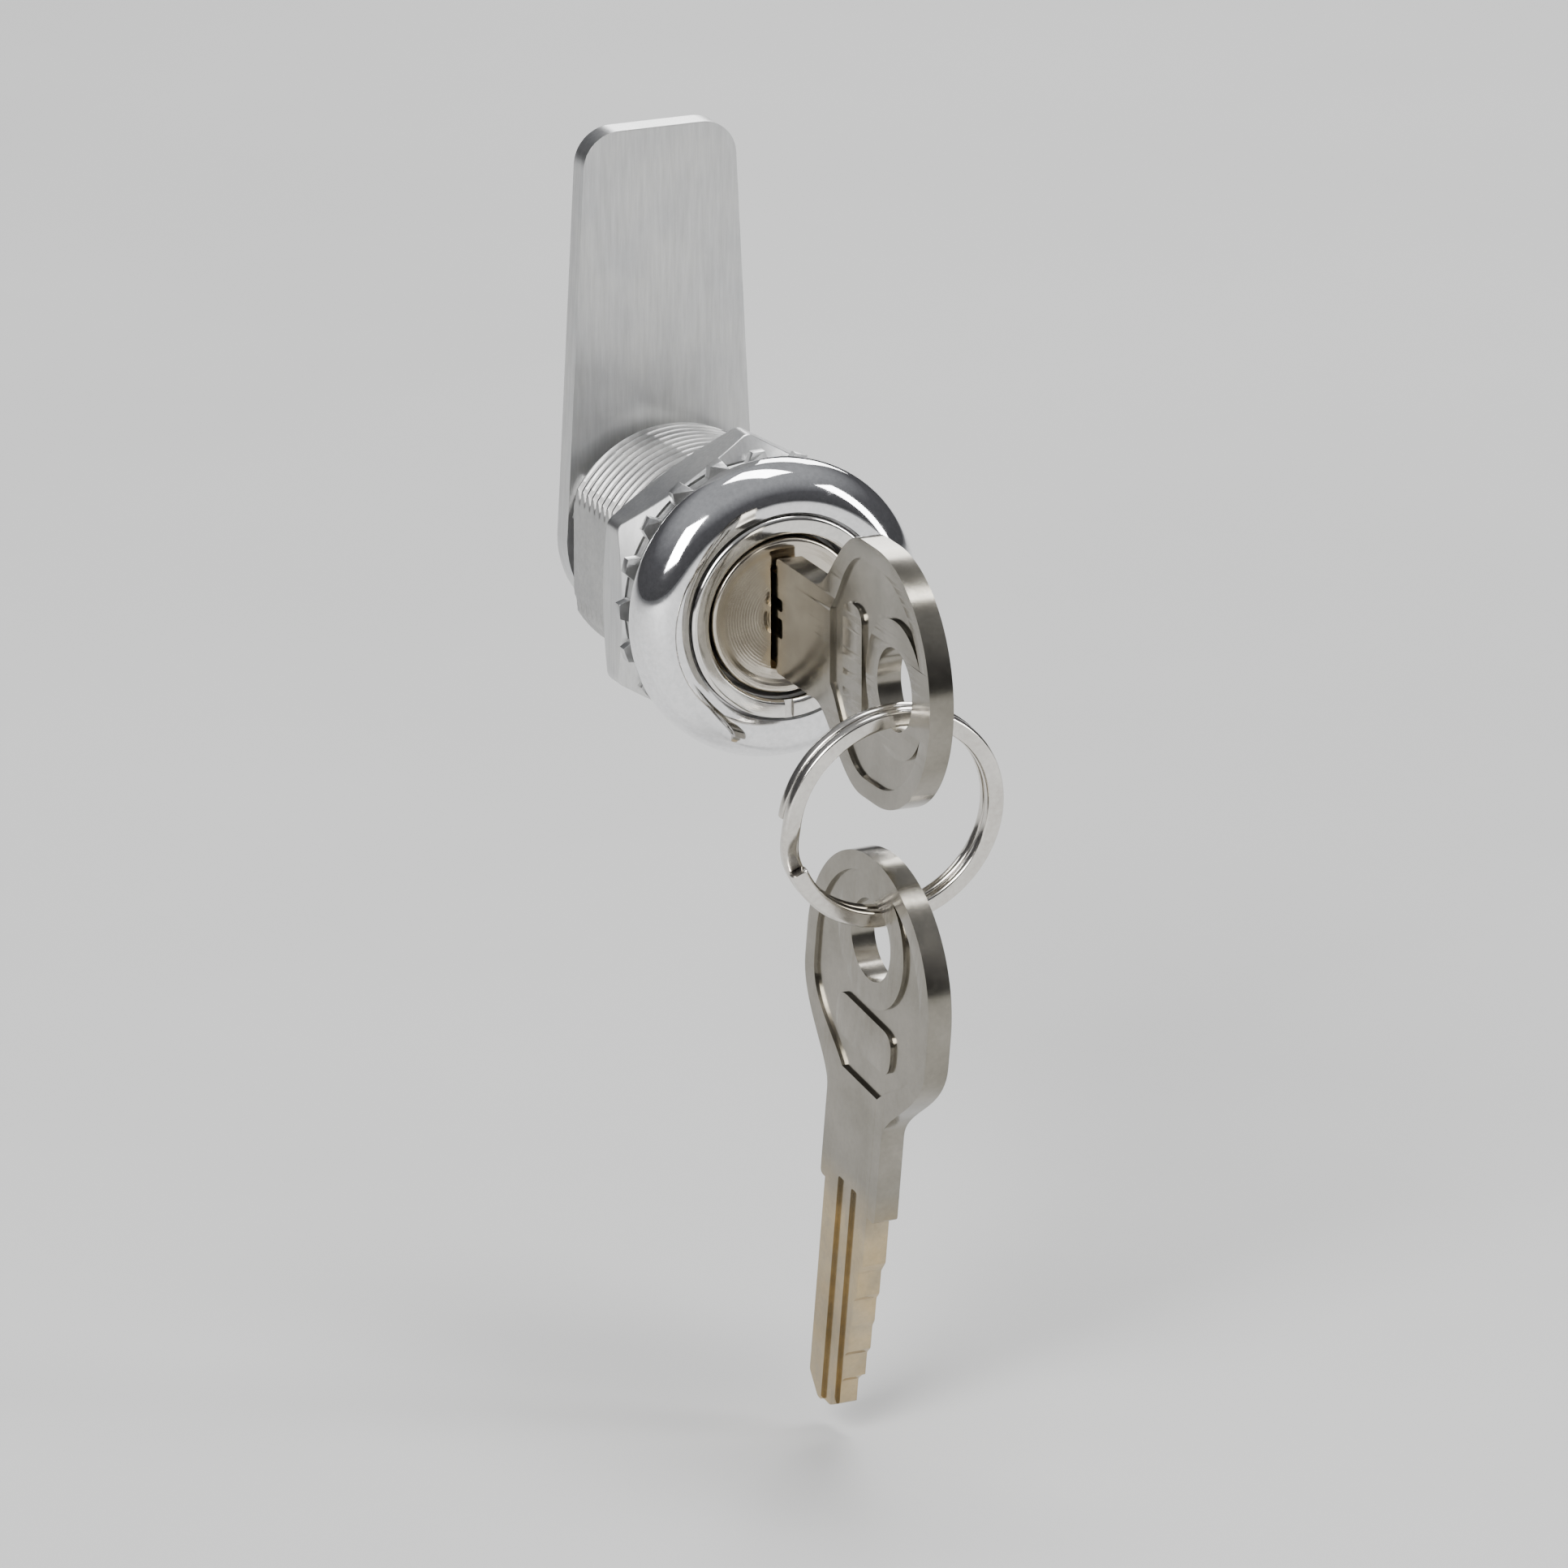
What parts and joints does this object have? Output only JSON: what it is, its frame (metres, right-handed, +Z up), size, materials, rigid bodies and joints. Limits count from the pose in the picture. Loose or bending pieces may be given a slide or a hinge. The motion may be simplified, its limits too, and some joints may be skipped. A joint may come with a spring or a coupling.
{
  "type": "cam lock",
  "caption": "Panel cam lock with a domed bezel, wafer plug, tabbed stop washer and straight cam, a key in the slot and a spare on a split ring.",
  "frame": {"origin": "on the lock's axis, in the plane of the bezel's back rim, which meets the front of the panel", "axes": "+Y along the lock's axis into the cabinet, so the front faces -Y; +Z up, along the cam in the locked position; +X to the right seen from the front"},
  "size_m": [0.024, 0.0612, 0.0937],
  "materials": {
    "chrome": "bright chrome plate",
    "zinc": "die-cast zinc, dull nickel wash",
    "steel": "zinc-plated steel, satin",
    "brass": "plain brass",
    "nickel_cap": "nickel plate, lightly brushed",
    "nickel_key": "nickel-plated brass, tumbled",
    "ring_steel": "nickel-plated spring wire",
    "spring_steel": "bright spring steel"
  },
  "bodies": {
    "lock_body": {"housing": "zinc", "bezel_cover": "chrome", "face_ring": "chrome", "tooth_washer": "steel", "mounting_nut": "steel"},
    "plug_assembly": {"plug": "brass", "plug_face": "nickel_cap", "stop_washer": "steel", "cam": "steel", "cam_lock_washer": "spring_steel", "cam_screw": "steel", "wafer_spring_1": "spring_steel", "wafer_spring_2": "spring_steel", "wafer_spring_3": "spring_steel", "wafer_spring_4": "spring_steel", "wafer_spring_5": "spring_steel"},
    "tumbler_1": {"wafer_1": "brass"},
    "tumbler_2": {"wafer_2": "brass"},
    "tumbler_3": {"wafer_3": "brass"},
    "tumbler_4": {"wafer_4": "brass"},
    "tumbler_5": {"wafer_5": "brass"},
    "key_in_lock": {"inserted_key": "nickel_key"},
    "ring": {"split_ring": "ring_steel"},
    "hanging_key": {"spare_key": "nickel_key"}
  },
  "joints": [
    {"name": "plug_turn", "type": "hinge", "parent": "lock_body", "child": "plug_assembly", "pos_m": [0, 0, 0], "axis": [0, 1, 0], "range_deg": [0, 90]},
    {"name": "key_slide", "type": "slide", "parent": "plug_assembly", "child": "key_in_lock", "axis": [0, -1, 0], "range_m": [0, 0.0205]},
    {"name": "ring_swing", "type": "hinge", "parent": "key_in_lock", "child": "ring", "pos_m": [-0.0008, -0.0264, -0.0013], "axis": [1, 0, 0], "range_deg": [-75, 8]},
    {"name": "spare_key_swing", "type": "hinge", "parent": "ring", "child": "hanging_key", "pos_m": [-0.0008, -0.02403, -0.01813], "axis": [1, 0, 0], "range_deg": [-60, 8]},
    {"name": "wafer_1_lift", "type": "slide", "parent": "plug_assembly", "child": "tumbler_1", "axis": [0, 0, 1], "range_m": [0, 0.0004], "stiffness_N_per_m": 60, "springref_m": -0.002, "deforming": ["wafer_spring_1"]},
    {"name": "wafer_2_lift", "type": "slide", "parent": "plug_assembly", "child": "tumbler_2", "axis": [0, 0, 1], "range_m": [0, 0.0004], "stiffness_N_per_m": 60, "springref_m": -0.002, "deforming": ["wafer_spring_2"]},
    {"name": "wafer_3_lift", "type": "slide", "parent": "plug_assembly", "child": "tumbler_3", "axis": [0, 0, 1], "range_m": [0, 0.0004], "stiffness_N_per_m": 60, "springref_m": -0.002, "deforming": ["wafer_spring_3"]},
    {"name": "wafer_4_lift", "type": "slide", "parent": "plug_assembly", "child": "tumbler_4", "axis": [0, 0, 1], "range_m": [0, 0.0004], "stiffness_N_per_m": 60, "springref_m": -0.002, "deforming": ["wafer_spring_4"]},
    {"name": "wafer_5_lift", "type": "slide", "parent": "plug_assembly", "child": "tumbler_5", "axis": [0, 0, 1], "range_m": [0, 0.0004], "stiffness_N_per_m": 60, "springref_m": -0.002, "deforming": ["wafer_spring_5"]}
  ]
}
